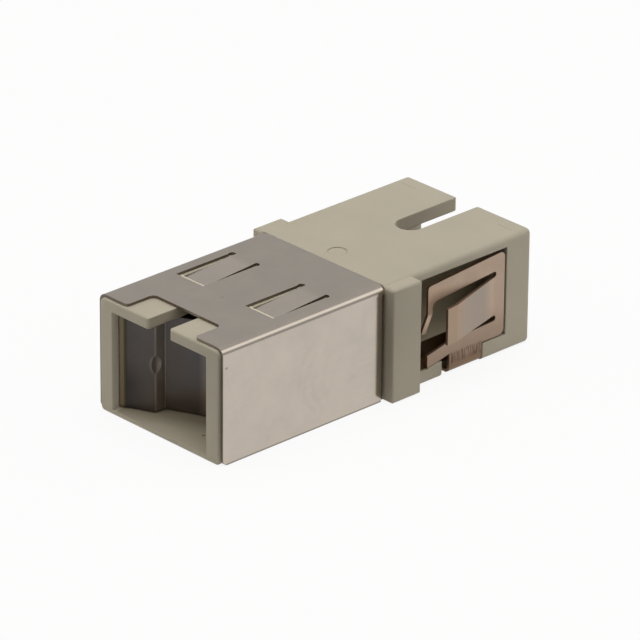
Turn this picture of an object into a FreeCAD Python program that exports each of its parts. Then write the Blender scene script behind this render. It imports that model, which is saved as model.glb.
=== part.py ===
import FreeCAD, Part
import math
import os

Vector = FreeCAD.Vector

# A simplex fibre coupler that joins two push-pull fibre plugs end to end. The front port has a sprung
# shutter and a sheet-steel shield, and the rear half snaps into a panel with a copper-alloy clip.
# Millimetres. The origin is the middle of the underside, the front port faces -Y and +Z is up.

# Plug that both ports take, and the slot for its key
plug_width = 9.0
plug_height = 7.35
plug_play = 0.05
key_slot_width = 2.2
key_slot_setback = 6.2
key_slot_front_round = 0.22
key_slot_rear_round = 0.42

# Housing walls and lengths
floor_thickness = 0.525
roof_thickness = 1.025
side_wall = 1.85
front_length = 15.6
ridge_length = 2.8
rear_length = 11.8
ridge_reach = 0.9
ridge_drop = 0.1
body_round = 0.4
ridge_round = 0.15
ridge_end_round = 0.28
front_end_round = 0.18
rear_end_round = 0.3
front_corner_round = 0.4

# Port mouths and the inner shoulder that the sleeve holders seat on
mouth_depth = 1.0
mouth_flare = 0.33
floor_flare = 0.13
left_mouth_flare = 0.39
left_mouth_land = 0.12
shoulder_length = 0.8
shoulder_hook_play = 0.4
shoulder_height_step = 0.5
catch_height = 0.2
catch_length = 0.8
catch_width = 3.0

# Shallow round ejector mark on top of the ridge
mark_radius = 0.7
mark_depth = 0.06
mark_offset = 0.15
mark_from_ridge_rear = 1.2

# Front shield, a folded sheet with two retaining tongues
shield_sheet = 0.2
shield_bend = 0.65
shield_setback = 0.2
shield_play = 0.02
shield_lift = 0.03
shield_corner = 0.45
shield_side_gap = 0.25
shield_gap_depth = 0.5
shield_notch_half = 3.5
shield_notch_depth = 2.7
shield_notch_round = 0.45
shield_notch_mouth_round = 0.35
tongue_width = 2.1
tongue_length = 4.7
tongue_slot = 0.37
tongue_centre = 3.59
tongue_root_gap = 4.25
tongue_end_gap = 0.5
tongue_drop = 0.3
tongue_relief_radius = 0.27
tongue_catch_play = 0.03
pocket_side_play = 0.12
pocket_floor_play = 0.1

# Panel clip, a folded sheet that grips the housing from below
clip_sheet = 0.2
clip_inset = 0.05
clip_play = 0.02
clip_bend = 0.25
panel_gap = 2.2
latch_reach = 1.37
latch_height = 3.02
latch_drop = 0.035
latch_taper = 0.2
latch_root_inset = 1.07
latch_relief_radius = 0.22
latch_slot = 0.44
latch_tip_length = 1.0
latch_tip_turn = 9.0
clip_front_gap = 1.55
clip_top_drop = 0.95
clip_top_taper = 0.55
clip_corner = 0.45
clip_opening_fall = 0.5
clip_opening_round = 0.5
clip_finger_width = 0.45
clip_finger_straight = 0.1
clip_finger_length = 1.89
clip_finger_turn = 20.5
clip_leg_bottom = 1.12
clip_leg_height = 1.0
clip_leg_rise = 0.48
clip_leg_round = 0.12
clip_rear_bottom = 1.47
strap_start = 3.75
strap_rear_gap = 2.18
strap_sink = 0.03

# Seats for the two sides of the clip in the rear half of the housing
seat_margin = 2.45
seat_rear_gap = 0.15
seat_top_gap = 0.23
seat_bottom_gap = 0.1
seat_room = 0.5
seat_wall = 0.4
finger_play = 0.2
ramp_lean = 33.0
seat_hollow_start = 0.8
seat_hollow_length = 4.0
seat_hollow_bottom = 1.3
strap_notch_front_gap = 0.8
strap_play = 0.04
strap_notch_depth = 1.1

# Shutter leaf, its hinge pin and its torsion spring
leaf_sheet = 0.15
leaf_to_plug = 0.04
leaf_end_play = 0.095
leaf_to_hooks = 0.45
leaf_to_wall = 0.6
leaf_closed_angle = 25.0
leaf_first_length = 2.92
leaf_step_depth = 0.815
leaf_step_length = 0.38
leaf_bend = 0.1
leaf_corner = 0.4
leaf_ear_rim = 0.17
leaf_stop_gap = 0.03
dart_radius = 1.3
dart_ahead = 0.87
dart_before = 0.73
hinge_setback = 1.04
pin_diameter = 0.5
pin_play = 0.03
pin_seat_play = 0.01
pin_blind_floor = 0.17
pin_top_gap = 0.05
pin_chamfer = 0.08
bay_front_length = 1.55
bay_end_play = 0.45
spring_wire = 0.18
spring_pin_play = 0.06
spring_seat_gap = 0.03
spring_turns = 3
spring_pitch = 0.25
spring_leaf_leg_gap = 0.72
spring_wall_leg_gap = 0.25

# Split alignment sleeve and the two holders round it
sleeve_bore = 2.5
sleeve_wall = 0.35
sleeve_slit = 0.4
sleeve_play = 0.05
sleeve_end_play = 0.1
sleeve_chamfer = 0.1
tube_wall = 0.45
tube_reach = 6.2
tube_lip_length = 0.4
tube_lip_play = 0.2
tube_lead = 0.25
flange_play = 0.05
hook_inner = 3.15
hook_thickness = 0.6
hook_width = 2.7
hook_reach = 6.9
hook_barb = 0.45
hook_barb_length = 1.3
hook_barb_land = 0.3

# Spare length by which a cutting shape runs past the face that it opens
overrun = 1.0

# Distance below which two points are the same, and a whole turn in degrees
same_point = 1e-6
full_turn = 360.0

port_width = plug_width + 2 * plug_play
port_height = plug_height + 2 * plug_play
port_half = port_width / 2
port_floor = floor_thickness
port_ceiling = port_floor + port_height
port_axis_z = (port_floor + port_ceiling) / 2
body_half = port_half + side_wall
body_height = port_ceiling + roof_thickness
core_half = body_half - shield_sheet - shield_play
core_top = body_height - shield_sheet - shield_play
core_round = shield_bend - shield_sheet + shield_play

overall_length = front_length + ridge_length + rear_length
front_y = -overall_length / 2
ridge_front_y = front_y + front_length
ridge_rear_y = ridge_front_y + ridge_length
rear_y = ridge_rear_y + rear_length
mating_y = ridge_front_y + ridge_length / 2
shoulder_front_y = ridge_front_y - shoulder_length

pin_radius = pin_diameter / 2
ear_bore = pin_radius + pin_play
ear_radius = ear_bore + leaf_ear_rim
spring_radius = pin_radius + spring_pin_play + spring_wire / 2
spring_outer = spring_radius + spring_wire / 2
cove_radius = spring_outer + spring_seat_gap
leaf_back = spring_outer + spring_seat_gap
leaf_front = leaf_back + leaf_sheet
leaf_mid = leaf_back + leaf_sheet / 2
hinge_x = -(plug_width / 2 + leaf_to_plug + leaf_front)
hinge_y = front_y + hinge_setback
hinge = Vector(hinge_x, hinge_y, 0)

leaf_low = port_floor + leaf_end_play
leaf_high = port_ceiling - leaf_end_play
leaf_room_to_hooks = mating_y - hook_reach - leaf_to_hooks - hinge_y
leaf_room_to_wall = (port_half - leaf_to_wall - hinge_x) / math.cos(math.radians(leaf_closed_angle))
leaf_reach = min(leaf_room_to_hooks, leaf_room_to_wall)
leaf_second_w = leaf_step_depth - leaf_mid
leaf_step_end = leaf_first_length + leaf_step_length
leaf_stop_w = -leaf_front - leaf_stop_gap

shield_front_y = front_y + shield_setback
tongue_root_y = ridge_front_y - tongue_root_gap
tongue_tip_y = tongue_root_y - tongue_length
tongue_window_y = tongue_tip_y - tongue_end_gap

clip_outer_x = body_half - clip_inset
clip_mid_x = clip_outer_x - clip_sheet / 2
clip_inner_x = clip_outer_x - clip_sheet
clip_front_y = ridge_rear_y + clip_front_gap
seat_rear_y = rear_y - seat_margin
clip_rear_y = seat_rear_y - seat_rear_gap
latch_tip_y = ridge_rear_y + panel_gap
latch_root_y = clip_rear_y - latch_root_inset
clip_top = body_height - clip_top_drop
latch_centre_z = (clip_rear_bottom + clip_top) / 2 - latch_drop
latch_bottom = latch_centre_z - latch_height / 2
latch_top = latch_centre_z + latch_height / 2
clip_opening_top = latch_top + latch_slot
finger_rear_y = clip_front_y + clip_finger_width
finger_root_z = clip_opening_top - clip_opening_fall - clip_opening_round - clip_finger_straight
finger_bend_z = finger_root_z - clip_bend
finger_tip_z = finger_bend_z - clip_finger_length * math.cos(math.radians(clip_finger_turn))
finger_reach = clip_finger_length * math.sin(math.radians(clip_finger_turn))
strap_front_y = ridge_rear_y + strap_start
strap_rear_y = clip_rear_y - strap_rear_gap
strap_mid_z = strap_sink + clip_sheet / 2

sleeve_radius = sleeve_bore / 2 + sleeve_wall
sleeve_half = tube_reach - tube_lip_length - sleeve_end_play
tube_bore = sleeve_radius + sleeve_play
tube_radius = tube_bore + tube_wall
tube_lip_radius = sleeve_bore / 2 + tube_lip_play


# Planes for outlines: each turns a flat point into a point in space

def across(y):
    return lambda p: Vector(p.x, y, p.y)


def plan(z):
    return lambda p: Vector(p.x, p.y, z)


def side(x):
    return lambda p: Vector(x, p.x, p.y)


# A closed wire through flat corners, each given as (u, v) or as (u, v, radius) where it is rounded
def rounded_outline(corners, place):
    flat = [Vector(c[0], c[1], 0) for c in corners]
    radii = [c[2] if len(c) > 2 else 0 for c in corners]
    spans = []
    for i, point in enumerate(flat):
        back = (flat[i - 1] - point).normalize()
        ahead = (flat[(i + 1) % len(flat)] - point).normalize()
        half = back.getAngle(ahead) / 2
        setback = radii[i] / math.tan(half)
        if radii[i] == 0:
            spans.append((point, point, point))
            continue
        bisector = (back + ahead).normalize()
        middle = point + bisector * (radii[i] / math.sin(half) - radii[i])
        spans.append((point + back * setback, middle, point + ahead * setback))
    edges = []
    for i, (start, middle, end) in enumerate(spans):
        last_end = spans[i - 1][2]
        if (start - last_end).Length > same_point:
            edges.append(Part.makeLine(place(last_end), place(start)))
        if (end - start).Length > same_point:
            edges.append(Part.Arc(place(start), place(middle), place(end)).toShape())
    return Part.Wire(edges)


# The corners of a folded sheet's section, from the middle line of the sheet and its inner bend radius
def sheet_corners(path, thickness, bend):
    flat = [Vector(u, v, 0) for u, v in path]
    runs = [(flat[i + 1] - flat[i]).normalize() for i in range(len(flat) - 1)]
    normals = [Vector(-run.y, run.x, 0) for run in runs]
    left = []
    right = []
    for i, point in enumerate(flat):
        before = normals[max(i - 1, 0)]
        after = normals[min(i, len(normals) - 1)]
        mitre = (before + after).normalize()
        offset = mitre * (thickness / 2 / mitre.dot(before))
        inner = 0
        outer = 0
        if 0 < i < len(flat) - 1:
            inner = bend
            outer = bend + thickness
            if runs[i - 1].cross(runs[i]).z < 0:
                inner, outer = outer, inner
        left.append((point.x + offset.x, point.y + offset.y, inner))
        right.append((point.x - offset.x, point.y - offset.y, outer))
    return left + right[::-1]


def extrude(wire, travel):
    return Part.Face(wire).extrude(travel)


def along_x(corners, low, high):
    return extrude(rounded_outline(corners, side(low)), Vector(high - low, 0, 0))


def along_y(corners, low, high):
    return extrude(rounded_outline(corners, across(low)), Vector(0, high - low, 0))


def along_z(corners, low, high):
    return extrude(rounded_outline(corners, plan(low)), Vector(0, 0, high - low))


def rectangle(u_low, u_high, v_low, v_high, radius=0):
    return [
        (u_low, v_low, radius),
        (u_high, v_low, radius),
        (u_high, v_high, radius),
        (u_low, v_high, radius),
    ]


def revolved_along_y(corners):
    face = Part.Face(rounded_outline(corners, plan(0)))
    return face.revolve(Vector(0, 0, 0), Vector(0, 1, 0), full_turn)


def mirrored(shape):
    return shape.mirror(Vector(0, 0, 0), Vector(1, 0, 0))


def one_solid(shape):
    return shape.removeSplitter().Solids[0]


# A prism along the port with its end face at end_y rounded
def rounded_end(prism, end_y, radius):
    rim = [edge for edge in prism.Edges if all(abs(v.Y - end_y) < same_point for v in edge.Vertexes)]
    return prism.makeFillet(radius, rim)


# The ridge's bar across the body: three crossed prisms round its upright edges and its level edges
def ridge_lugs():
    span = body_half + ridge_reach
    top = body_height - ridge_drop
    upright = along_z(rectangle(-span, span, ridge_front_y, ridge_rear_y, ridge_round), 0, top)
    level = along_x(rectangle(ridge_front_y, ridge_rear_y, 0, top, ridge_end_round), -span, span)
    ends = along_y(rectangle(-span, span, 0, top, ridge_end_round), ridge_front_y, ridge_rear_y)
    return upright.common(level).common(ends)


# Outer form: the narrower front core, the rear body and the ridge with its two lugs
def housing_body():
    core_section = [
        (-core_half, 0, front_corner_round),
        (core_half, 0, front_corner_round),
        (core_half, core_top, core_round),
        (-core_half, core_top, core_round),
    ]
    core = along_y(core_section, front_y, ridge_front_y)
    body_section = rectangle(-body_half, body_half, 0, body_height, body_round)
    body = along_y(body_section, ridge_front_y, rear_y)
    core = rounded_end(core, front_y, front_end_round)
    body = rounded_end(body, rear_y, rear_end_round)
    return core.fuse([body, ridge_lugs()])


def port_prism(low_y, high_y):
    return along_y(rectangle(-port_half, port_half, port_floor, port_ceiling), low_y, high_y)


# A tapered lead-in on the floor and the sides that runs from the end face into the port
def mouth(face_y, inward):
    wide_half = port_half + mouth_flare
    wide = rectangle(-wide_half, wide_half, port_floor - floor_flare, port_ceiling)
    narrow = rectangle(-port_half, port_half, port_floor, port_ceiling)
    rims = [
        rounded_outline(wide, across(face_y)),
        rounded_outline(narrow, across(face_y + inward * mouth_depth)),
    ]
    return Part.makeLoft(rims, True, True)


# The key slot is open at the port's end face, with a full-round inner end
def key_slot(face_y, outward, inner_y, mouth_round):
    half = key_slot_width / 2
    wide = half + overrun
    outside_y = face_y + outward * overrun
    corners = [
        (-wide, outside_y),
        (-wide, face_y),
        (-half, face_y, mouth_round),
        (-half, inner_y, half),
        (half, inner_y, half),
        (half, face_y, mouth_round),
        (wide, face_y),
        (wide, outside_y),
    ]
    return along_z(corners, port_ceiling - overrun, body_height + overrun)


# A wedge behind the holders' flange, on the floor or on the ceiling
def holder_catch(wall_z, inward):
    start = ridge_rear_y + flange_play
    corners = [
        (start, wall_z - inward * floor_thickness / 2),
        (start, wall_z + inward * catch_height),
        (start + catch_length, wall_z),
        (start + catch_length, wall_z - inward * floor_thickness / 2),
    ]
    return along_x(corners, -catch_width / 2, catch_width / 2)


# Turns a shape drawn with the hinge at the origin and the leaf along +X to where the leaf closes
def at_hinge(shape):
    placed = shape.copy()
    placed.rotate(Vector(0, 0, 0), Vector(0, 0, 1), leaf_closed_angle)
    placed.translate(hinge)
    return placed


# Room for the hinge and for the open leaf in the left wall, closed outside by the shield. The jamb in
# front of it ends in a slanted face that stops the closing leaf.
def shutter_bay():
    bay_front_y = hinge_y + bay_front_length
    bay_rear_y = hinge_y + leaf_reach + bay_end_play
    cove = Part.makeCylinder(cove_radius, port_height, hinge + Vector(0, 0, port_floor))
    stop_outline = rectangle(-ear_radius / 2, leaf_first_length, leaf_stop_w, 0)
    stop = at_hinge(along_z(stop_outline, port_floor, port_ceiling))
    channel = along_z(
        rectangle(hinge_x - cove_radius, -port_half + overrun, hinge_y, bay_front_y + overrun),
        port_floor,
        port_ceiling,
    )
    window = along_z(
        rectangle(-core_half - overrun, -port_half + overrun, bay_front_y, bay_rear_y),
        port_floor,
        port_ceiling,
    )
    return [cove, stop, channel, window]


# The left jamb opens out towards the front, from just before its stop face
def left_lead_in():
    closed = math.radians(leaf_closed_angle)
    stop_y = hinge_y + ((-port_half - hinge_x) * math.sin(closed) + leaf_stop_w) / math.cos(closed)
    corners = [
        (-port_half + overrun, front_y),
        (-port_half - left_mouth_flare, front_y),
        (-port_half, stop_y - left_mouth_land),
        (-port_half + overrun, stop_y - left_mouth_land),
    ]
    return along_z(corners, port_floor, port_ceiling)


def pin_hole():
    return Part.makeCylinder(
        pin_radius + pin_seat_play,
        core_top + overrun - pin_blind_floor,
        hinge + Vector(0, 0, pin_blind_floor),
    )


# A groove in the right side, in front of the ridge, where the shield's side stops short
def shield_groove():
    corners = rectangle(core_half - shield_gap_depth, body_half, -overrun, body_height - shield_bend)
    return along_y(corners, ridge_front_y - shield_side_gap, ridge_front_y)


# A pocket in the front roof that catches the free end of one shield tongue
def tongue_pocket(sign):
    reach = tongue_width / 2 + pocket_side_play
    depth = tongue_drop + pocket_floor_play
    corners = rectangle(
        sign * tongue_centre - reach,
        sign * tongue_centre + reach,
        tongue_tip_y - tongue_catch_play,
        tongue_root_y,
    )
    return along_z(corners, core_top - depth, core_top + overrun)


# The clip's seat in the right wall: a recess behind the whole side of the clip, a notch down to the
# underside for the strap, a deeper pocket over a ramp that clears the tip of the clip's finger, and a
# hollow as deep as the pocket below the ramp
def clip_seat():
    low = clip_rear_bottom - seat_bottom_gap
    leg_low = clip_leg_bottom - clip_play
    high = clip_top + seat_top_gap
    notch_front_y = strap_front_y - strap_notch_front_gap
    notch_rear_y = strap_rear_y + strap_play
    notch_share = (notch_front_y - clip_front_y) / (strap_front_y - clip_front_y)
    outside = body_half + overrun
    seat_x = clip_inner_x - seat_room
    recess_outline = [
        (ridge_rear_y, leg_low),
        (clip_front_y, leg_low),
        (notch_front_y, leg_low + notch_share * clip_leg_rise),
        (notch_rear_y, low),
        (seat_rear_y, low),
        (seat_rear_y, high),
        (ridge_rear_y, high),
    ]
    recess = along_x(recess_outline, seat_x, outside)
    notch = along_x(
        rectangle(notch_front_y, notch_rear_y, -overrun, clip_leg_bottom + clip_leg_rise),
        body_half - strap_notch_depth,
        outside,
    )
    ramp = math.tan(math.radians(ramp_lean))
    clear_x = clip_inner_x - finger_reach - finger_play
    pocket_x = port_half + seat_wall
    ramp_foot_z = finger_tip_z - (seat_x - clear_x) / ramp
    pocket_section = [
        (outside, ramp_foot_z),
        (seat_x, ramp_foot_z),
        (pocket_x, finger_tip_z + (clear_x - pocket_x) / ramp),
        (pocket_x, high),
        (outside, high),
    ]
    pocket = along_y(pocket_section, ridge_rear_y, seat_rear_y)
    hollow_y = ridge_rear_y + seat_hollow_start
    hollow_outline = rectangle(hollow_y, hollow_y + seat_hollow_length, seat_hollow_bottom, ramp_foot_z)
    hollow = along_x(hollow_outline, pocket_x, outside)
    return [recess, notch, pocket, hollow]


def strap_channel():
    half = body_half + overrun
    corners = rectangle(-half, half, -overrun, strap_sink + clip_sheet + clip_play)
    return along_y(corners, strap_front_y - strap_play, strap_rear_y + strap_play)


def ejector_mark():
    return Part.makeCylinder(
        mark_radius,
        mark_depth + overrun,
        Vector(-mark_offset, ridge_rear_y - mark_from_ridge_rear, body_height - mark_depth),
        Vector(0, 0, 1),
    )


def make_housing():
    shoulder_half = hook_inner + hook_thickness + shoulder_hook_play
    shoulder = rectangle(
        -shoulder_half,
        shoulder_half,
        port_floor + shoulder_height_step,
        port_ceiling - shoulder_height_step,
    )
    right_side = clip_seat() + [shield_groove()]
    cuts = [
        port_prism(front_y - overrun, shoulder_front_y),
        port_prism(ridge_front_y, rear_y + overrun),
        along_y(shoulder, shoulder_front_y - overrun, ridge_front_y + overrun),
        mouth(front_y, 1),
        mouth(rear_y, -1),
        left_lead_in(),
        key_slot(front_y, -1, mating_y - key_slot_setback, key_slot_front_round),
        key_slot(rear_y, 1, mating_y + key_slot_setback, key_slot_rear_round),
        pin_hole(),
        tongue_pocket(1),
        tongue_pocket(-1),
        strap_channel(),
        ejector_mark(),
    ]
    cuts += shutter_bay() + right_side + [mirrored(shape) for shape in right_side]
    catches = [holder_catch(port_floor, 1), holder_catch(port_ceiling, -1)]
    return one_solid(housing_body().cut(cuts).fuse(catches))


# Front shield: a folded channel with a notch at the key slot and two tongues pressed down
def shield_tongue(sign):
    middle = sign * tongue_centre
    window_half = tongue_width / 2 + tongue_slot
    top_mid = body_height - shield_sheet / 2
    window = along_z(
        rectangle(middle - window_half, middle + window_half, tongue_window_y, tongue_root_y),
        core_top,
        body_height + overrun,
    )
    slot_middle = tongue_width / 2 + tongue_slot / 2
    reliefs = [
        Part.makeCylinder(
            tongue_relief_radius, body_height, Vector(middle + end * slot_middle, tongue_root_y, core_top)
        )
        for end in (-1, 1)
    ]
    path = [
        (tongue_root_y + tongue_relief_radius, top_mid),
        (tongue_root_y, top_mid),
        (tongue_tip_y, top_mid - tongue_drop),
    ]
    tongue = along_x(
        sheet_corners(path, shield_sheet, shield_sheet),
        middle - tongue_width / 2,
        middle + tongue_width / 2,
    )
    return [window] + reliefs, tongue


def make_front_shield():
    mid_x = body_half - shield_sheet / 2
    top_mid = body_height - shield_sheet / 2
    path = [(-mid_x, shield_lift), (-mid_x, top_mid), (mid_x, top_mid), (mid_x, shield_lift)]
    section = sheet_corners(path, shield_sheet, shield_bend - shield_sheet)
    channel = along_y(section, shield_front_y, ridge_front_y)
    side_rear_y = ridge_front_y - shield_side_gap
    flank = [
        (shield_front_y, shield_lift, shield_corner),
        (side_rear_y, shield_lift),
        (side_rear_y, body_height - shield_bend),
        (ridge_front_y, body_height - shield_bend),
        (ridge_front_y, body_height + overrun),
        (shield_front_y, body_height + overrun),
    ]
    channel = channel.common(along_x(flank, -body_half - overrun, body_half + overrun))
    wide = shield_notch_half + overrun
    notch_y = front_y + shield_notch_depth
    notch = [
        (-wide, front_y - overrun),
        (-wide, shield_front_y),
        (-shield_notch_half, shield_front_y, shield_notch_mouth_round),
        (-shield_notch_half, notch_y, shield_notch_round),
        (shield_notch_half, notch_y, shield_notch_round),
        (shield_notch_half, shield_front_y, shield_notch_mouth_round),
        (wide, shield_front_y),
        (wide, front_y - overrun),
    ]
    cuts = [along_z(notch, core_top, body_height + overrun)]
    tongues = []
    for sign in (-1, 1):
        openings, tongue = shield_tongue(sign)
        cuts += openings
        tongues.append(tongue)
    return one_solid(channel.cut(cuts).fuse(tongues))


# Panel clip: a strap under the housing with a sprung frame up each side
def clip_frame():
    outline = [
        (clip_front_y, clip_leg_bottom, clip_leg_round),
        (strap_front_y, clip_leg_bottom + clip_leg_rise),
        (strap_front_y, clip_leg_bottom),
        (strap_rear_y, clip_leg_bottom),
        (strap_rear_y, clip_rear_bottom),
        (clip_rear_y, clip_rear_bottom, clip_corner),
        (clip_rear_y, clip_top, clip_corner),
        (clip_front_y, clip_top - clip_top_taper, clip_corner / 2),
    ]
    frame = along_x(outline, clip_inner_x, clip_outer_x)
    leg_top = clip_leg_bottom + clip_leg_height
    leg_slope = clip_leg_rise / (strap_front_y - clip_front_y)
    opening = [
        (clip_front_y - overrun, leg_top - leg_slope * overrun),
        (strap_front_y, leg_top + clip_leg_rise),
        (latch_root_y, latch_bottom - latch_slot),
        (latch_root_y, clip_opening_top),
        (finger_rear_y, clip_opening_top - clip_opening_fall, clip_opening_round),
        (finger_rear_y, finger_root_z),
        (clip_front_y - overrun, finger_root_z),
    ]
    low = clip_inner_x - overrun
    high = clip_outer_x + overrun
    reliefs = [
        Part.makeCylinder(
            latch_relief_radius, high - low, Vector(low, latch_root_y, z), Vector(1, 0, 0)
        )
        for z in (latch_bottom - latch_slot / 2, latch_top + latch_slot / 2)
    ]
    return frame.cut([along_x(opening, low, high)] + reliefs)


# A free finger that hangs from the front corner of the frame and leans into the housing's pocket
def clip_finger():
    path = [
        (clip_mid_x, finger_root_z),
        (clip_mid_x, finger_bend_z),
        (clip_mid_x - finger_reach, finger_tip_z),
    ]
    return along_y(sheet_corners(path, clip_sheet, clip_bend), clip_front_y, finger_rear_y)


# The latch tongue leans outward towards the ridge, eases back a little near its tip and narrows to it
def clip_latch():
    tip_x = clip_mid_x + latch_reach
    lean = math.atan2(latch_reach, latch_root_y - latch_tip_y)
    tip_lean = lean - math.radians(latch_tip_turn)
    knee_y = latch_tip_y + latch_tip_length * math.cos(tip_lean)
    knee_x = tip_x - latch_tip_length * math.sin(tip_lean)
    path = [
        (clip_mid_x, latch_root_y + latch_relief_radius),
        (clip_mid_x, latch_root_y),
        (knee_x, knee_y),
        (tip_x, latch_tip_y),
    ]
    tongue = along_z(sheet_corners(path, clip_sheet, clip_bend), latch_bottom, latch_top)
    end_y = latch_root_y + latch_relief_radius
    outline = [
        (latch_tip_y - clip_sheet, latch_bottom),
        (end_y, latch_bottom),
        (end_y, latch_top),
        (latch_root_y, latch_top),
        (latch_tip_y - clip_sheet, latch_top - latch_taper),
    ]
    return tongue.common(along_x(outline, clip_inner_x, tip_x + clip_sheet))


def make_panel_clip():
    path = [
        (-clip_mid_x, clip_leg_bottom + clip_sheet),
        (-clip_mid_x, strap_mid_z),
        (clip_mid_x, strap_mid_z),
        (clip_mid_x, clip_leg_bottom + clip_sheet),
    ]
    strap = along_y(sheet_corners(path, clip_sheet, clip_bend), strap_front_y, strap_rear_y)
    right_side = clip_frame().fuse([clip_finger(), clip_latch()])
    return one_solid(strap.fuse([right_side, mirrored(right_side)]))


# Shutter leaf: a stepped sheet with an ear at top and bottom that turns on the pin
def leaf_ear(low):
    corners = [
        (0, -leaf_mid),
        (ear_radius, -leaf_mid),
        (ear_radius, ear_radius, ear_radius),
        (-ear_radius, ear_radius, ear_radius),
        (-ear_radius, 0),
    ]
    ear = along_z(corners, low, low + leaf_sheet)
    return ear.cut(Part.makeCylinder(ear_bore, leaf_sheet, Vector(0, 0, low)))


# A round dart pressed into the outer fold of the step, which stiffens it: the ball that forms its face
# and the bowl of sheet behind that
def leaf_dart():
    centre = Vector(leaf_first_length + dart_ahead, -leaf_mid - dart_before, port_axis_z)
    bowl_radius = dart_radius + leaf_sheet
    behind_fold = [
        (leaf_first_length - bowl_radius, -leaf_mid),
        (leaf_first_length, -leaf_mid),
        (leaf_step_end, leaf_second_w),
        (leaf_first_length - bowl_radius, leaf_second_w),
    ]
    ball = Part.makeSphere(dart_radius, centre)
    bowl = Part.makeSphere(bowl_radius, centre).cut(ball)
    return ball, bowl.common(along_z(behind_fold, leaf_low, leaf_high))


def make_shutter_leaf():
    path = [
        (0, -leaf_mid),
        (leaf_first_length, -leaf_mid),
        (leaf_step_end, leaf_second_w),
        (leaf_reach, leaf_second_w),
    ]
    plate = along_z(sheet_corners(path, leaf_sheet, leaf_bend), leaf_low, leaf_high)
    blank = [
        (-overrun, leaf_low),
        (leaf_reach, leaf_low, leaf_corner),
        (leaf_reach, leaf_high, leaf_corner),
        (-overrun, leaf_high),
    ]
    plate = plate.common(along_y(blank, leaf_stop_w, leaf_step_depth))
    ball, bowl = leaf_dart()
    ears = [leaf_ear(leaf_low), leaf_ear(leaf_high - leaf_sheet)]
    return at_hinge(one_solid(plate.cut(ball).fuse([bowl] + ears)))


def make_shutter_pin():
    low = pin_blind_floor + pin_seat_play
    high = core_top - pin_top_gap
    section = [
        (0, low),
        (pin_radius - pin_chamfer, low),
        (pin_radius, low + pin_chamfer),
        (pin_radius, high - pin_chamfer),
        (pin_radius - pin_chamfer, high),
        (0, high),
    ]
    face = Part.Face(rounded_outline(section, across(0)))
    pin = face.revolve(Vector(0, 0, 0), Vector(0, 0, 1), full_turn)
    pin.translate(hinge)
    return one_solid(pin)


# A point on the coil's middle line, by the turns from the leg on the housing wall
def coil_point(turn):
    angle = math.radians(full_turn * (turn + 1 / 2))
    return Vector(spring_radius * math.cos(angle), spring_radius * math.sin(angle), spring_pitch * turn)


# Each half turn is a tilted arc, tangent to the next one
def coil_half_turn(turn, share):
    arc = Part.Arc(coil_point(turn), coil_point(turn + 1 / 4), coil_point(turn + 1 / 2))
    first = arc.FirstParameter
    return arc.trim(first, first + share * (arc.LastParameter - first)).toShape()


# One wire, from the leg on the housing wall round the coil to the leg that lies on the back of the leaf
def make_shutter_spring():
    half_turns = 2 * round(spring_turns) + 2 * leaf_closed_angle / full_turn - 3 / 2
    whole = math.floor(half_turns)
    coil = [coil_half_turn(i / 2, 1) for i in range(whole)]
    coil.append(coil_half_turn(whole / 2, half_turns - whole))
    wall_start = coil_point(0)
    wall_end = wall_start + Vector(0, bay_front_length - spring_wall_leg_gap, 0)
    leaf_start = coil[-1].valueAt(coil[-1].LastParameter)
    leaf_way = coil[-1].tangentAt(coil[-1].LastParameter)
    leaf_end = leaf_start + leaf_way * (leaf_first_length - spring_leaf_leg_gap)
    path = [Part.makeLine(wall_end, wall_start)] + coil + [Part.makeLine(leaf_start, leaf_end)]
    section = Part.Wire(Part.makeCircle(spring_wire / 2, wall_end, Vector(0, 1, 0)))
    spring = Part.Wire(path).makePipe(Part.Face(section))
    spring.translate(hinge + Vector(0, 0, port_axis_z - leaf_start.z / 2))
    return spring.Solids[0]


# Sleeve holder, drawn for the rear side with the mating plane at zero
def holder_hook(sign):
    reach_start = ridge_length / 2 - flange_play
    outer = hook_inner + hook_thickness
    barb = hook_inner - hook_barb
    barb_y = hook_reach - hook_barb_length
    corners = [
        (sign * hook_inner, reach_start),
        (sign * outer, reach_start),
        (sign * outer, hook_reach),
        (sign * hook_inner, hook_reach),
        (sign * barb, barb_y + hook_barb_land),
        (sign * barb, barb_y),
        (sign * hook_inner, barb_y),
    ]
    return along_z(corners, port_axis_z - hook_width / 2, port_axis_z + hook_width / 2)


def make_sleeve_holder(direction):
    flange_half = port_half - flange_play
    flange = along_y(
        rectangle(-flange_half, flange_half, port_floor + flange_play, port_ceiling - flange_play),
        0,
        ridge_length / 2,
    )
    lip_y = tube_reach - tube_lip_length
    section = [
        (tube_bore, 0),
        (tube_radius, 0),
        (tube_radius, tube_reach),
        (tube_lip_radius + tube_lead, tube_reach),
        (tube_lip_radius, tube_reach - tube_lead),
        (tube_lip_radius, lip_y),
        (tube_bore, lip_y),
    ]
    tube = revolved_along_y(section)
    tube.translate(Vector(0, 0, port_axis_z))
    bore = Part.makeCylinder(tube_bore, ridge_length, Vector(0, -overrun, port_axis_z), Vector(0, 1, 0))
    holder = flange.fuse([holder_hook(-1), holder_hook(1)]).cut(bore).fuse(tube)
    if direction < 0:
        holder = holder.mirror(Vector(0, 0, 0), Vector(0, 1, 0))
    holder.translate(Vector(0, mating_y, 0))
    return one_solid(holder)


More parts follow.
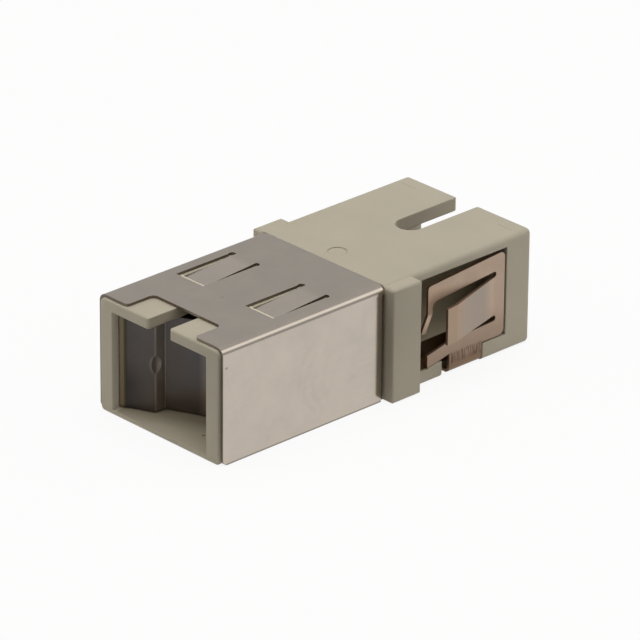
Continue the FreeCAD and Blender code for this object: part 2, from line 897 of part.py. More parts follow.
def make_split_sleeve():
    section = [
        (sleeve_bore / 2 + sleeve_chamfer, -sleeve_half),
        (sleeve_radius, -sleeve_half),
        (sleeve_radius, sleeve_half),
        (sleeve_bore / 2 + sleeve_chamfer, sleeve_half),
        (sleeve_bore / 2, sleeve_half - sleeve_chamfer),
        (sleeve_bore / 2, -sleeve_half + sleeve_chamfer),
    ]
    tube = revolved_along_y(section)
    slit = along_y(
        rectangle(-sleeve_slit / 2, sleeve_slit / 2, 0, sleeve_radius + overrun),
        -sleeve_half - overrun,
        sleeve_half + overrun,
    )
    sleeve = tube.cut(slit)
    sleeve.translate(Vector(0, mating_y, port_axis_z))
    return one_solid(sleeve)


parts = {
    "housing": make_housing(),
    "front_shield": make_front_shield(),
    "panel_clip": make_panel_clip(),
    "shutter_leaf": make_shutter_leaf(),
    "shutter_pin": make_shutter_pin(),
    "shutter_spring": make_shutter_spring(),
    "front_sleeve_holder": make_sleeve_holder(-1),
    "rear_sleeve_holder": make_sleeve_holder(1),
    "split_sleeve": make_split_sleeve(),
}

os.makedirs("parts", exist_ok=True)
for name, shape in parts.items():
    shape.exportStep(f"parts/{name}.step")
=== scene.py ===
from functools import reduce
import math
import bpy
from mathutils import Matrix, Vector


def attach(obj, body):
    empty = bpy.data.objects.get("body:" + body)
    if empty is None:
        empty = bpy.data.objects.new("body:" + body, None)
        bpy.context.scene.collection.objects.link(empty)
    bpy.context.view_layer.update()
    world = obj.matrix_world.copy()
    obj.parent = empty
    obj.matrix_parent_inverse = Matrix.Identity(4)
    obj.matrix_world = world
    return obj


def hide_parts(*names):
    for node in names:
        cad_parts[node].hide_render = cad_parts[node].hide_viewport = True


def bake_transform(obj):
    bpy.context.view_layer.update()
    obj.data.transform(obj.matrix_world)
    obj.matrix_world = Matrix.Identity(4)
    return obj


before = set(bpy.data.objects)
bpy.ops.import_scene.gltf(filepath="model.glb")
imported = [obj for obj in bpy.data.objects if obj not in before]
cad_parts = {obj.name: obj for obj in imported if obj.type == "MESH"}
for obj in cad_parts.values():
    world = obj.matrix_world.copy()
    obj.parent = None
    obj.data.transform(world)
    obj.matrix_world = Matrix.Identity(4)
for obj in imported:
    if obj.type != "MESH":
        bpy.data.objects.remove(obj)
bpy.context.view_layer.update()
print("frame loaded, nodes:", sorted(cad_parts))

scene = bpy.context.scene
scene.view_settings.view_transform = "Standard"
mm = 0.001

# The turn of the closed shutter leaf, and how far back its hinge lies along it, in millimetres
leafTurn = math.radians(25.0)
leafHingeOffset = 10.66

# Most of a noise texture's values lie between these two
noiseLow = 0.3
noiseHigh = 0.7

# Shared by the finishes
white = (1, 1, 1)
lineShade = (0.86, 0.86, 0.86)
edgeSamples = 6
spotCore = 0.6


# Short helpers for node trees

def emptyTree(owner, outputKind):
    owner.use_nodes = True
    tree = owner.node_tree
    tree.nodes.clear()
    return tree, tree.nodes.new(outputKind)


def startMaterial(name):
    material = bpy.data.materials.new(name)
    tree, output = emptyTree(material, "ShaderNodeOutputMaterial")
    return material, tree, output


def startFinish(name):
    material, tree, output = startMaterial(name)
    shader = tree.nodes.new("ShaderNodeBsdfPrincipled")
    tree.links.new(shader.outputs["BSDF"], output.inputs["Surface"])
    return material, tree, shader


# Sets a socket to a plain value, or links it to another node's socket
def feed(tree, socket, value):
    if isinstance(value, bpy.types.NodeSocket):
        tree.links.new(value, socket)
    else:
        socket.default_value = value


def objectPlace(tree, scale=(1, 1, 1), turn=(0, 0, 0), move=(0, 0, 0)):
    place = tree.nodes.new("ShaderNodeTexCoord")
    mapping = tree.nodes.new("ShaderNodeMapping")
    mapping.inputs["Scale"].default_value = scale
    mapping.inputs["Rotation"].default_value = turn
    mapping.inputs["Location"].default_value = move
    tree.links.new(place.outputs["Object"], mapping.inputs["Vector"])
    return mapping.outputs["Vector"]


def placeInMm(tree, turn=(0, 0, 0), move=(0, 0, 0)):
    return objectPlace(tree, (1 / mm, 1 / mm, 1 / mm), turn, move)


def noise(tree, vector, scale, detail=4, rough=0.55):
    node = tree.nodes.new("ShaderNodeTexNoise")
    node.inputs["Scale"].default_value = scale
    node.inputs["Detail"].default_value = detail
    node.inputs["Roughness"].default_value = rough
    tree.links.new(vector, node.inputs["Vector"])
    return node.outputs["Fac"]


def ramp(tree, value, stops):
    node = tree.nodes.new("ShaderNodeValToRGB")
    for element, (place, colour) in zip(node.color_ramp.elements, stops):
        element.position = place
        element.color = (*colour, 1)
    tree.links.new(value, node.inputs["Fac"])
    return node.outputs["Color"]


def remap(tree, value, low, high, fromLow=noiseLow, fromHigh=noiseHigh):
    node = tree.nodes.new("ShaderNodeMapRange")
    node.inputs["From Min"].default_value = fromLow
    node.inputs["From Max"].default_value = fromHigh
    node.inputs["To Min"].default_value = low
    node.inputs["To Max"].default_value = high
    tree.links.new(value, node.inputs["Value"])
    return node.outputs["Result"]


def blendColour(tree, kind, factor, first, second):
    node = tree.nodes.new("ShaderNodeMix")
    node.data_type = "RGBA"
    node.blend_type = kind
    feed(tree, node.inputs["Factor"], factor)
    feed(tree, node.inputs[6], first)
    feed(tree, node.inputs[7], second)
    return node.outputs[2]


def mathStep(tree, operation, first, second=0.0):
    node = tree.nodes.new("ShaderNodeMath")
    node.operation = operation
    feed(tree, node.inputs[0], first)
    feed(tree, node.inputs[1], second)
    return node.outputs[0]


def product(tree, values):
    return reduce(lambda first, second: mathStep(tree, "MULTIPLY", first, second), values)


def mixShaders(tree, share, first, second, output):
    mix = tree.nodes.new("ShaderNodeMixShader")
    tree.links.new(share, mix.inputs["Fac"])
    tree.links.new(first, mix.inputs[1])
    tree.links.new(second, mix.inputs[2])
    tree.links.new(mix.outputs["Shader"], output.inputs["Surface"])


def addBump(tree, shader, height, distance, strength, softEdge):
    bump = tree.nodes.new("ShaderNodeBump")
    bump.inputs["Distance"].default_value = distance
    bump.inputs["Strength"].default_value = strength
    tree.links.new(height, bump.inputs["Height"])
    edge = tree.nodes.new("ShaderNodeBevel")
    edge.samples = edgeSamples
    edge.inputs["Radius"].default_value = softEdge
    tree.links.new(edge.outputs["Normal"], bump.inputs["Normal"])
    tree.links.new(bump.outputs["Normal"], shader.inputs["Normal"])


# Stains: a look lists them by name, each with its zones on the piece, in millimetres

def splitAxes(tree, vector):
    node = tree.nodes.new("ShaderNodeSeparateXYZ")
    tree.links.new(vector, node.inputs[0])
    return node.outputs


# Across is the distance to either side of the middle. The last two are turned with the closed leaf: one runs
# along it from its hinge, and one straight through it from the middle of the model.
def pieceAxes(tree):
    straight = splitAxes(tree, placeInMm(tree))
    turned = splitAxes(tree, placeInMm(tree, (0, 0, -leafTurn), (leafHingeOffset, 0, 0)))
    return {
        "sideways": straight[0],
        "across": mathStep(tree, "ABSOLUTE", straight[0]),
        "along": straight[1],
        "up": straight[2],
        "fromHinge": turned[0],
        "throughLeaf": turned[1],
    }


# 1 at a small spot, given by its middle and its reach along each axis
def spot(tree, place, size):
    scale = tuple(1 / (mm * side) for side in size)
    move = tuple(-middle / side for middle, side in zip(place, size))
    reach = tree.nodes.new("ShaderNodeVectorMath")
    reach.operation = "LENGTH"
    tree.links.new(objectPlace(tree, scale, move=move), reach.inputs[0])
    return remap(tree, reach.outputs["Value"], 1, 0, spotCore, 1.0)


# Arcs that a wipe leaves about one middle, broken up by noise
def wipeArcs(tree, look):
    rings = tree.nodes.new("ShaderNodeTexWave")
    rings.wave_type = "RINGS"
    rings.rings_direction = "SPHERICAL"
    rings.inputs["Scale"].default_value = look["scale"]
    rings.inputs["Distortion"].default_value = look["distortion"]
    rings.inputs["Detail"].default_value = look["detail"]
    move = tuple(-middle for middle in look["middle"])
    tree.links.new(placeInMm(tree, move=move), rings.inputs["Vector"])
    patches = noise(tree, objectPlace(tree), look["patchScale"])
    return product(tree, [rings.outputs["Fac"], remap(tree, patches, 0, 1, *look["patchRange"])])


# Lines that are left where a sheet is drawn round a bend
def drawLines(tree, look):
    lines = noise(tree, objectPlace(tree, look["stretch"]), look["scale"], look["detail"], look["rough"])
    return remap(tree, lines, 0, 1, *look["lineRange"])


# How much of a stain a zone takes, from 0 to 1. Each edge names an axis, the place where the stain starts and
# the place where it is full, and then how much there is at the start if that isn't nothing.
def zoneShare(tree, axes, zone):
    parts = []
    for axis, start, full, *least in zone.get("edges", ()):
        parts.append(remap(tree, axes[axis], least[0] if least else 0, 1, start, full))
    if "spot" in zone:
        parts.append(spot(tree, *zone["spot"]))
    if "texture" in zone:
        parts.append(zone["texture"](tree, zone["textureLook"]))
    if "share" in zone:
        parts.append(zone["share"])
    return product(tree, parts)


# Lays the stains over a colour in their order. Where zones of one stain meet, the stronger one counts.
def stained(tree, colour, stains):
    axes = pieceAxes(tree) if stains else {}
    for stain in stains.values():
        shares = [zoneShare(tree, axes, zone) for zone in stain["zones"]]
        strongest = reduce(lambda first, second: mathStep(tree, "MAXIMUM", first, second), shares)
        colour = blendColour(tree, stain["kind"], strongest, colour, (*stain["colour"], 1))
    return colour


# Finishes

def mouldedPlastic(name, look):
    material, tree, shader = startFinish(name)
    place = objectPlace(tree)
    broad = noise(tree, place, look["broadScale"], detail=3)
    fine = noise(tree, place, look["fineScale"], detail=5)
    grain = noise(tree, place, look["grainScale"], detail=2)
    tint = ramp(tree, broad, [(noiseLow, look["shade"]), (noiseHigh, look["colour"])])
    speckle = ramp(tree, fine, look["speckleStops"])
    colour = blendColour(tree, "MULTIPLY", look["speckle"], tint, speckle)
    tree.links.new(stained(tree, colour, look["stains"]), shader.inputs["Base Color"])
    tree.links.new(remap(tree, fine, *look["rough"]), shader.inputs["Roughness"])
    shader.inputs["Specular IOR Level"].default_value = look["specular"]
    addBump(tree, shader, grain, look["grainDepth"], look["grainStrength"], look["softEdge"])
    return material


# Sheet metal: faint clouds, then stains, then rolling lines
def rolledSheet(name, look):
    material, tree, shader = startFinish(name)
    streak = noise(tree, objectPlace(tree, look["stretch"]), look["streakScale"], detail=6, rough=0.65)
    cloud = noise(tree, objectPlace(tree), look["cloudScale"], detail=3)
    tint = ramp(tree, cloud, [(noiseLow, look["shade"]), (noiseHigh, look["colour"])])
    tint = stained(tree, tint, look["stains"])
    lines = ramp(tree, streak, [(noiseLow, lineShade), (noiseHigh, white)])
    colour = blendColour(tree, "MULTIPLY", look["lines"], tint, lines)
    tree.links.new(colour, shader.inputs["Base Color"])
    shader.inputs["Metallic"].default_value = look["metallic"]
    shader.inputs["Specular IOR Level"].default_value = look["specular"]
    tree.links.new(remap(tree, streak, *look["rough"]), shader.inputs["Roughness"])
    addBump(tree, shader, streak, look["lineDepth"], look["lineStrength"], look["softEdge"])
    return material


# Pieces: each is a joined-up copy of its frame node, smooth where the real one is bent or round

copyLook = {
    "mergeDistance": 0.0005 * mm,
    "flatAngle": math.radians(0.5),
    "bendAngle": math.radians(35),
    "wireAngle": math.radians(60),
    "normalWeight": 80,
}

# A face counts as turned towards an axis when its normal reaches this far along that axis
towards = 0.7


def smoothCopy(nodeName, pieceName, body, angle=copyLook["bendAngle"]):
    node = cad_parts[nodeName]
    bpy.ops.object.select_all(action="DESELECT")
    node.select_set(True)
    bpy.context.view_layer.objects.active = node
    bpy.ops.object.duplicate()
    piece = bpy.context.view_layer.objects.active
    piece.name = pieceName
    piece.parent = None
    for key in list(piece.keys()):
        del piece[key]
    bpy.ops.object.mode_set(mode="EDIT")
    bpy.ops.mesh.customdata_custom_splitnormals_clear()
    bpy.ops.mesh.select_all(action="SELECT")
    bpy.ops.mesh.remove_doubles(threshold=copyLook["mergeDistance"])
    bpy.ops.mesh.dissolve_limited(angle_limit=copyLook["flatAngle"])
    bpy.ops.object.mode_set(mode="OBJECT")
    bpy.ops.object.shade_smooth_by_angle(angle=angle)
    bpy.ops.object.modifier_add(type="WEIGHTED_NORMAL")
    weighted = piece.modifiers[-1]
    weighted.keep_sharp = True
    weighted.weight = copyLook["normalWeight"]
    bpy.ops.object.modifier_apply(modifier=weighted.name)
    piece.data.materials.clear()
    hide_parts(nodeName)
    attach(piece, body)
    return piece


def paintFaces(piece, index, wanted):
    for face in piece.data.polygons:
        if wanted(face.center / mm, face.normal):
            face.material_index = index


# Housing: one beige moulding. Painted shade darkens the side pockets behind the clip, most of all the hollow
# low down, and the floor is darker along the shutter's foot. The mould leaves a faint witness line on each
# rear prong, and painted light makes the roof paler where it shows in the windows of the shield.

housingLook = {
    "colour": (0.452, 0.407, 0.312),
    "shade": (0.425, 0.383, 0.292),
    "broadScale": 240,
    "fineScale": 4200,
    "speckle": 0.35,
    "speckleStops": [(0.25, (0.9, 0.9, 0.9)), (0.6, white)],
    "rough": (0.46, 0.58),
    "specular": 0.4,
    "grainScale": 9000,
    "grainDepth": 0.012 * mm,
    "grainStrength": 0.5,
    "softEdge": 0.13 * mm,
    "stains": {
        # Painted shade: darker in the side pockets behind the clip
        "pocketPaintedShade": {
            "kind": "MULTIPLY",
            "colour": (0.68, 0.64, 0.55),
            "zones": [{"edges": [
                ("across", 4.0, 4.6), ("across", 6.3, 6.1),
                ("along", 0.6, 0.7), ("along", 12.7, 12.6),
                ("up", 0.35, 0.45), ("up", 8.3, 8.2),
            ]}],
        },
        # Painted shade: much darker in the hollow low down in the pockets
        "hollowPaintedShade": {
            "kind": "MULTIPLY",
            "colour": (0.36, 0.22, 0.09),
            "zones": [{"edges": [
                ("across", 4.0, 4.6), ("across", 6.3, 6.1),
                ("along", 3.7, 3.9), ("along", 8.5, 8.3),
                ("up", 0.4, 0.6), ("up", 2.8, 2.6),
            ]}],
        },
        "witnessLine": {
            "kind": "MULTIPLY",
            "colour": (0.86, 0.83, 0.8),
            "zones": [{"edges": [
                ("across", 4.2, 4.25), ("across", 5.7, 5.65),
                ("along", 13.74, 13.78), ("along", 13.88, 13.84),
                ("up", 8.9, 8.95),
            ]}],
        },
        # Darker on the floor along the shutter's foot
        "footDarkening": {
            "kind": "MULTIPLY",
            "colour": (0.68, 0.67, 0.63),
            "zones": [{"edges": [
                ("throughLeaf", -12.9, -11.3),
                ("across", 4.5, 4.45),
                ("along", -15.1, -15.0), ("along", -8.9, -9.0),
                ("up", 0.2, 0.3), ("up", 0.7, 0.6),
            ]}],
        },
        # Painted light: the roof paler where it shows in the shield's windows
        "windowPaintedLight": {
            "kind": "MULTIPLY",
            "colour": (1.5, 1.5, 1.5),
            "zones": [{"edges": [
                ("across", 2.05, 2.1), ("across", 5.15, 5.1),
                ("along", -9.05, -9.0), ("along", -8.35, -8.4),
                ("up", 8.6, 8.7),
            ]}],
        },
        "floorSpecks": {
            "kind": "MIX",
            "colour": (0.12, 0.1, 0.08),
            "zones": [
                {"spot": ((0.45, -11.22, 0.52), (0.14, 0.14, 0.3))},
                {"spot": ((2.62, -13.29, 0.52), (0.14, 0.14, 0.3))},
            ],
        },
    },
}

housing = smoothCopy("housing", "mouldedHousing", "coupler")
housing.data.materials.append(mouldedPlastic("beigeMoulding", housingLook))
print("housing dressed")

# Front shield: rolled steel sheet with darker cut edges, tongues made paler by a painted reflection, faint
# arcs from a wipe on its right side, a scuff on the top, a speck on the right side and a dark rim along the
# bottom

shieldLook = {
    "colour": (0.535, 0.470, 0.400),
    "shade": (0.485, 0.432, 0.374),
    "stretch": (1, 0.06, 1),
    "streakScale": 9000,
    "cloudScale": 420,
    "lines": 0.25,
    "metallic": 1.0,
    "specular": 0.5,
    "rough": (0.14, 0.2),
    "lineDepth": 0.001 * mm,
    "lineStrength": 0.12,
    "softEdge": 0.02 * mm,
    "stains": {
        # Painted reflection: the tongues paler
        "tonguePaintedReflection": {
            "kind": "MULTIPLY",
            "colour": (1.1, 1.1, 1.1),
            "zones": [{"edges": [
                ("across", 2.54, 2.56), ("across", 4.64, 4.62),
                ("along", -8.9, -8.4), ("along", -3.9, -4.4),
                ("up", 8.0, 8.2),
            ]}],
        },
        "wipe": {
            "kind": "MULTIPLY",
            "colour": (0.965, 0.96, 0.955),
            "zones": [{
                "spot": ((6.4, -6.2, 4.0), (1.0, 2.4, 3.6)),
                "texture": wipeArcs,
                "textureLook": {
                    "middle": (6.4, -3.55, 3.58),
                    "scale": 0.4,
                    "distortion": 6.0,
                    "detail": 3.0,
                    "patchScale": 700,
                    "patchRange": (0.4, 0.6),
                },
            }],
        },
        "scuffs": {
            "kind": "MIX",
            "colour": (0.16, 0.14, 0.12),
            "zones": [
                {"spot": ((0.07, -9.2, 9.0), (0.06, 0.22, 0.3)), "share": 0.5},
                {"spot": ((6.4, -14.59, 7.48), (0.3, 0.16, 0.12)), "share": 0.5},
                {"edges": [("up", 0.18, 0.08)], "share": 0.8},
            ],
        },
    },
}
shieldCutLook = {
    **shieldLook,
    "colour": (0.23, 0.19, 0.15),
    "shade": (0.15, 0.12, 0.10),
    "rough": (0.4, 0.55),
    "stains": {},
    "topAbove": 8.4,
    "topHalf": 6.0,
    "topUpright": 0.5,
    "bottomBelow": 0.5,
}


# Upright faces in the top, and the ends and the bottom of the sides
def shieldCut(middle, normal):
    look = shieldCutLook
    if middle.z > look["topAbove"] and abs(middle.x) < look["topHalf"]:
        return abs(normal.z) < look["topUpright"]
    return abs(normal.y) > towards or (middle.z < look["bottomBelow"] and normal.z < -towards)


shield = smoothCopy("front_shield", "sheetShield", "coupler")
shield.data.materials.append(rolledSheet("rolledSteel", shieldLook))
shield.data.materials.append(rolledSheet("steelCutEdge", shieldCutLook))
paintFaces(shield, 1, shieldCut)
print("shield dressed")

# Panel clip: copper-alloy spring sheet, with painted shade that makes it darker and yellower towards the
# strap, painted light that makes the front bar paler, painted reflections that make the latch tongue greyer
# and its tip golden, and draw marks where the strap is bent

clipLook = {
    "colour": (0.475, 0.352, 0.262),
    "shade": (0.44, 0.322, 0.236),
    "stretch": (1, 1, 0.05),
    "streakScale": 4200,
    "cloudScale": 600,
    "lines": 0.35,
    "metallic": 0.5,
    "specular": 0.5,
    "rough": (0.34, 0.44),
    "lineDepth": 0.002 * mm,
    "lineStrength": 0.2,
    "softEdge": 0.02 * mm,
    "stains": {
        # Painted shade: darker towards the strap
        "strapPaintedShade": {
            "kind": "MULTIPLY",
            "colour": (0.66, 0.62, 0.57),
            "zones": [{"edges": [("up", 4.2, 1.0)]}],
        },
        # Painted shade: yellower and darker at the bottom of the strap
        "strapYellowPaintedShade": {
            "kind": "MULTIPLY",
            "colour": (0.72, 0.66, 0.54),
            "zones": [{"edges": [("up", 1.1, 0.7)]}],
        },
        # Painted light: the front bar paler
        "barPaintedLight": {
            "kind": "MULTIPLY",
            "colour": (1.5, 1.47, 1.44),
            "zones": [{"edges": [("along", 9.5, 5.4), ("up", 2.4, 3.4), ("up", 7.6, 6.6)]}],
        },
        # Painted reflection: the latch tongue greyer
        "latchGreyPaintedReflection": {
            "kind": "MIX",
            "colour": (0.335, 0.272, 0.218),
            "zones": [{"edges": [("across", 6.45, 6.7)], "share": 0.85}],
        },
        # Painted reflection: the tongue's tip golden
        "tipGoldPaintedReflection": {
            "kind": "MIX",
            "colour": (0.41, 0.28, 0.185),
            "zones": [{"edges": [("across", 7.35, 7.5), ("up", 2.6, 3.0)], "share": 0.8}],
        },
        "drawMarks": {
            "kind": "MIX",
            "colour": (0.11, 0.038, 0.024),
            "zones": [{
                "edges": [
                    ("along", 6.9, 7.2), ("along", 10.5, 10.2),
                    ("up", 0.65, 0.85), ("up", 1.7, 1.5),
                ],
                "texture": drawLines,
                "textureLook": {
                    "stretch": (1, 1, 0.05),
                    "scale": 14000,
                    "detail": 2,
                    "rough": 0.5,
                    "lineRange": (0.46, 0.55),
                },
            }],
        },
    },
}
clipCutLook = {
    **clipLook,
    "colour": (0.20, 0.115, 0.07),
    "shade": (0.13, 0.075, 0.045),
    "rough": (0.45, 0.6),
    "stains": {},
    "strapBelow": 0.5,
}


# Faces across the length, and level faces above the strap
def clipCut(middle, normal):
    return abs(normal.y) > towards or (abs(normal.z) > towards and middle.z > clipCutLook["strapBelow"])


clip = smoothCopy("panel_clip", "springClip", "coupler")
clip.data.materials.append(rolledSheet("copperSpring", clipLook))
clip.data.materials.append(rolledSheet("copperCutEdge", clipCutLook))
paintFaces(clip, 1, clipCut)
print("clip dressed")

# Shutter leaf: painted shade in olive by the jamb with a painted shadow line, painted light at the fold, in
# its dart and in the inner fold, shaded low down by the jamb, a painted reflection that makes it greyer and
# paler at the far end, and browner and darker towards the bottom from a painted reflection of the floor

leafLook = {
    "colour": (0.104, 0.091, 0.083),
    "shade": (0.093, 0.081, 0.074),
    "stretch": (1, 1, 0.06),
    "streakScale": 8000,
    "cloudScale": 500,
    "lines": 0.05,
    "metallic": 0.2,
    "specular": 0.25,
    "rough": (0.29, 0.31),
    "lineDepth": 0.001 * mm,
    "lineStrength": 0.03,
    "softEdge": 0.02 * mm,
    "stains": {
        # Painted shade: olive by the jamb
        "rootPaintedShade": {
            "kind": "MIX",
            "colour": (0.19, 0.155, 0.088),
            "zones": [{"edges": [("fromHinge", 0.7, 0.55)], "share": 0.9}],
        },
        # Painted shadow: a dark line by the jamb
        "rootPaintedShadowLine": {
            "kind": "MIX",
            "colour": (0.057, 0.045, 0.018),
            "zones": [{"edges": [("fromHinge", 0.5, 0.6), ("fromHinge", 0.84, 0.74)]}],
        },
        # Painted light: the fold and its dart
        "foldPaintedLight": {
            "kind": "MIX",
            "colour": (0.31, 0.285, 0.255),
            "zones": [
                {"edges": [("fromHinge", 2.87, 2.93), ("fromHinge", 3.31, 3.25)]},
                {
                    "spot": ((-2.37, -13.23, 4.25), (0.55, 0.55, 0.85)),
                    "edges": [("fromHinge", 2.96, 2.88)],
                    "share": 0.5,
                },
            ],
        },
        # Painted light: the inner fold
        "innerFoldPaintedLight": {
            "kind": "MIX",
            "colour": (0.27, 0.252, 0.232),
            "zones": [{"edges": [("fromHinge", 3.23, 3.27), ("fromHinge", 3.41, 3.37)]}],
        },
        "jambShade": {
            "kind": "MULTIPLY",
            "colour": (0.5, 0.5, 0.5),
            "zones": [{"edges": [("fromHinge", 0.66, 0.76), ("fromHinge", 1.9, 0.75)], "share": 0.45}],
        },
        "lowShade": {
            "kind": "MULTIPLY",
            "colour": (0.42, 0.42, 0.42),
            "zones": [{"edges": [
                ("up", 4.6, 2.6),
                ("fromHinge", 2.4, 0.9, 0.3),
                ("fromHinge", 0.66, 0.76), ("fromHinge", 3.45, 3.35),
            ]}],
        },
        # Painted reflection: greyer at the far end
        "farPaintedReflection": {
            "kind": "MIX",
            "colour": (0.092, 0.088, 0.094),
            "zones": [{"edges": [("fromHinge", 4.95, 5.1), ("up", 2.5, 2.8)], "share": 0.8}],
        },
        # Painted reflection: paler at the far end
        "endPaintedHighlight": {
            "kind": "MULTIPLY",
            "colour": (2.0, 1.95, 1.9),
            "zones": [{"edges": [("fromHinge", 5.9, 6.4)]}],
        },
        # Painted reflection of the floor: browner and darker towards the bottom
        "lowPaintedFloorReflection": {
            "kind": "MULTIPLY",
            "colour": (0.78, 0.66, 0.56),
            "zones": [{"edges": [("up", 6.5, 1.2)]}],
        },
    },
}

leaf = smoothCopy("shutter_leaf", "shutterLeaf", "shutter")
leaf.data.materials.append(rolledSheet("shutterSteel", leafLook))

# Hinge pin and torsion spring

wireLook = {
    **leafLook,
    "colour": (0.55, 0.55, 0.55),
    "shade": (0.45, 0.45, 0.45),
    "metallic": 1.0,
    "stains": {},
}
wireSteel = rolledSheet("drawnWire", wireLook)
pin = smoothCopy("shutter_pin", "hingePin", "coupler")
pin.data.materials.append(wireSteel)
spring = smoothCopy("shutter_spring", "torsionSpring", "coupler", copyLook["wireAngle"])
spring.data.materials.append(wireSteel)
spring.parent = None
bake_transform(spring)
print("shutter dressed")

# Sleeve holders and the split sleeve, deep inside the ports

holderLook = {
    **housingLook,
    "colour": (0.42, 0.375, 0.28),
    "shade": (0.39, 0.35, 0.26),
    "stains": {},
}
holderPlastic = mouldedPlastic("holderMoulding", holderLook)
for nodeName, pieceName in (("front_sleeve_holder", "frontHolder"), ("rear_sleeve_holder", "rearHolder")):
    holder = smoothCopy(nodeName, pieceName, "coupler")
    holder.data.materials.append(holderPlastic)
sleeveLook = {
    **clipLook,
    "colour": (0.60, 0.42, 0.24),
    "shade": (0.52, 0.36, 0.20),
    "stretch": (1, 0.06, 1),
    "stains": {},
}
sleeve = smoothCopy("split_sleeve", "splitSleeve", "coupler")
sleeve.data.materials.append(rolledSheet("sleeveBronze", sleeveLook))
print("inner pieces dressed")

# Stage: pale floor, white surroundings, soft lamps

stageLook = {
    "floorSize": 3.0,
    "floorDrop": 0.01 * mm,
    "floorColour": (0.86, 0.86, 0.86),
    "floorWhite": 0.9,
    "dimFloor": (0.12, 0.12, 0.12),
    "dimZone": {"edges": [("sideways", 6.5, 8.5), ("along", 0.5, -1.5)]},
    "ambient": 0.17,
    "ambientTint": (1, 0.985, 0.96),
    "cardSides": 64,
    "cardRadius": 0.5,
    "cardHeight": 0.84,
    "cardGrey": (0.515, 0.6),
    "cardShift": (-220, -110),
    "ceilingHeight": 0.97,
    "ceilingRadius": 0.6,
    "ceilingGrey": 1.5,
}
lampLook = {
    "overheadLamp": {
        "place": (0.0, 0.0, 0.98),
        "size": (1.2, 1.2),
        "power": 8.2,
        "tint": white,
        "mirrored": False,
    },
    "rightLamp": {
        "place": (0.24, 0.29, 0.27),
        "size": (0.6, 0.18),
        "power": 0.22,
        "tint": (1, 0.98, 0.95),
        "mirrored": True,
    },
    "rightFill": {
        "place": (0.30, 0.22, 0.20),
        "size": (0.5, 0.3),
        "power": 0.17,
        "tint": (1, 0.93, 0.84),
        "mirrored": False,
    },
    "leftLamp": {
        "place": (-0.25, -0.30, 0.24),
        "size": (0.6, 0.2),
        "power": 0.33,
        "tint": (1, 0.93, 0.82),
        "mirrored": True,
    },
}


# 1 for rays that the camera, a reflection or a clear piece sends out
def whiteRays(tree):
    path = tree.nodes.new("ShaderNodeLightPath")
    mirrored = mathStep(tree, "MAXIMUM", path.outputs["Is Camera Ray"], path.outputs["Is Glossy Ray"])
    return mathStep(tree, "MAXIMUM", mirrored, path.outputs["Is Transmission Ray"])


# Pale all over, but the part beside the camera gives less light back to the object
def paleFloor(look):
    bpy.ops.object.select_all(action="DESELECT")
    bpy.ops.mesh.primitive_plane_add(size=look["floorSize"], location=(0, 0, -look["floorDrop"]))
    floor = bpy.context.object
    floor.name = "studioFloor"
    material, tree, output = startMaterial("paleFloor")
    seen = whiteRays(tree)
    nearCamera = zoneShare(tree, pieceAxes(tree), look["dimZone"])
    dim = product(tree, [nearCamera, mathStep(tree, "SUBTRACT", 1.0, seen)])
    colour = blendColour(tree, "MIX", dim, (*look["floorColour"], 1), (*look["dimFloor"], 1))
    matt = tree.nodes.new("ShaderNodeBsdfDiffuse")
    tree.links.new(colour, matt.inputs["Color"])
    glow = tree.nodes.new("ShaderNodeEmission")
    share = product(tree, [seen, look["floorWhite"]])
    mixShaders(tree, share, matt.outputs["BSDF"], glow.outputs["Emission"], output)
    floor.data.materials.append(material)


def whiteWorld(look):
    scene.world = bpy.data.worlds.new("studioWorld")
    tree, output = emptyTree(scene.world, "ShaderNodeOutputWorld")
    soft = tree.nodes.new("ShaderNodeBackground")
    soft.inputs["Color"].default_value = (*look["ambientTint"], 1)
    soft.inputs["Strength"].default_value = look["ambient"]
    bright = tree.nodes.new("ShaderNodeBackground")
    bright.inputs["Color"].default_value = (*white, 1)
    mixShaders(tree, whiteRays(tree), soft.outputs["Background"], bright.outputs["Background"], output)


def softLamp(name, look):
    bpy.ops.object.light_add(type="AREA", location=look["place"])
    lamp = bpy.context.object
    lamp.name = name
    lamp.data.shape = "ELLIPSE"
    lamp.data.size, lamp.data.size_y = look["size"]
    lamp.data.energy = look["power"]
    lamp.data.color = look["tint"]
    lamp.visible_glossy = look["mirrored"]
    lamp.rotation_euler = (-Vector(look["place"])).to_track_quat("-Z", "Y").to_euler()


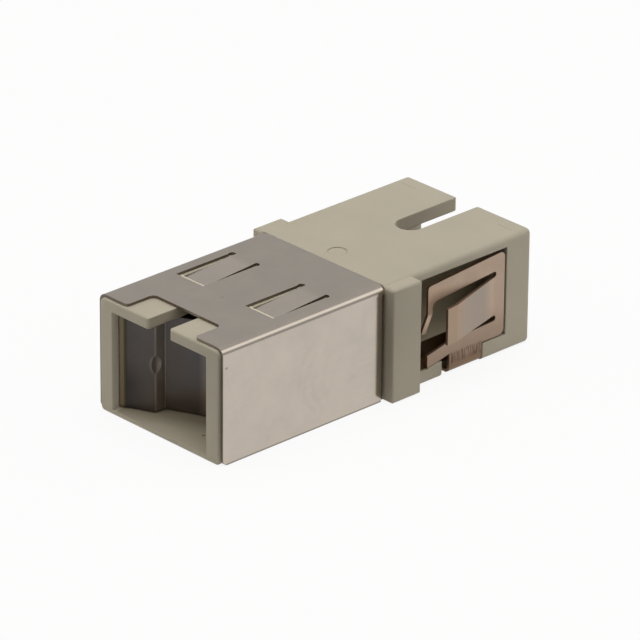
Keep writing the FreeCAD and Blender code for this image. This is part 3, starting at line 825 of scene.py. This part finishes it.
# Cards are seen only in reflections, so that bright metal has something to mirror. With a shift, a card's
# strength changes between those two heights from its middle, in millimetres.
def cardFinish(name, strength, shift=None):
    card = bpy.context.object
    card.name = name
    material, tree, output = startMaterial(name)
    glow = tree.nodes.new("ShaderNodeEmission")
    if shift:
        strength = remap(tree, pieceAxes(tree)["up"], *strength, *shift)
    feed(tree, glow.inputs["Strength"], strength)
    tree.links.new(glow.outputs["Emission"], output.inputs["Surface"])
    card.data.materials.append(material)
    card.visible_camera = False
    card.visible_diffuse = False
    card.visible_transmission = False
    card.visible_shadow = False


def greyCards(look):
    bpy.ops.object.select_all(action="DESELECT")
    bpy.ops.mesh.primitive_cylinder_add(
        vertices=look["cardSides"],
        radius=look["cardRadius"],
        depth=look["cardHeight"],
        end_fill_type="NOTHING",
        location=(0, 0, look["cardHeight"] / 2),
    )
    cardFinish("greyCard", look["cardGrey"], look["cardShift"])
    bpy.ops.mesh.primitive_circle_add(
        vertices=look["cardSides"],
        radius=look["ceilingRadius"],
        fill_type="NGON",
        location=(0, 0, look["ceilingHeight"]),
    )
    cardFinish("ceilingCard", look["ceilingGrey"])


paleFloor(stageLook)
whiteWorld(stageLook)
greyCards(stageLook)
for lampName, lamp in lampLook.items():
    softLamp(lampName, lamp)
print("stage set")

# Camera at the photograph's angle

cameraLook = {
    "place": (272.50 * mm, -258.75 * mm, 181.57 * mm),
    "azimuth": 46.448,
    "elevation": 25.256,
    "roll": 0.50,
    "lens": 328.3,
    "sensor": 36,
    "nearest": 0.01,
    "furthest": 20,
}


def photoCamera(look):
    bpy.ops.object.camera_add(location=look["place"])
    camera = bpy.context.object
    camera.name = "photoCamera"
    az, el, roll = (math.radians(look[key]) for key in ("azimuth", "elevation", "roll"))
    back = Vector((math.sin(az) * math.cos(el), -math.cos(az) * math.cos(el), math.sin(el)))
    right = Vector((math.cos(az), math.sin(az), 0))
    up = back.cross(right)
    rolledRight = right * math.cos(roll) + up * math.sin(roll)
    rolledUp = up * math.cos(roll) - right * math.sin(roll)
    camera.rotation_euler = Matrix((rolledRight, rolledUp, back)).transposed().to_euler()
    camera.data.sensor_width = look["sensor"]
    camera.data.lens = look["lens"]
    camera.data.clip_start = look["nearest"]
    camera.data.clip_end = look["furthest"]
    scene.camera = camera


photoCamera(cameraLook)
print("camera set")
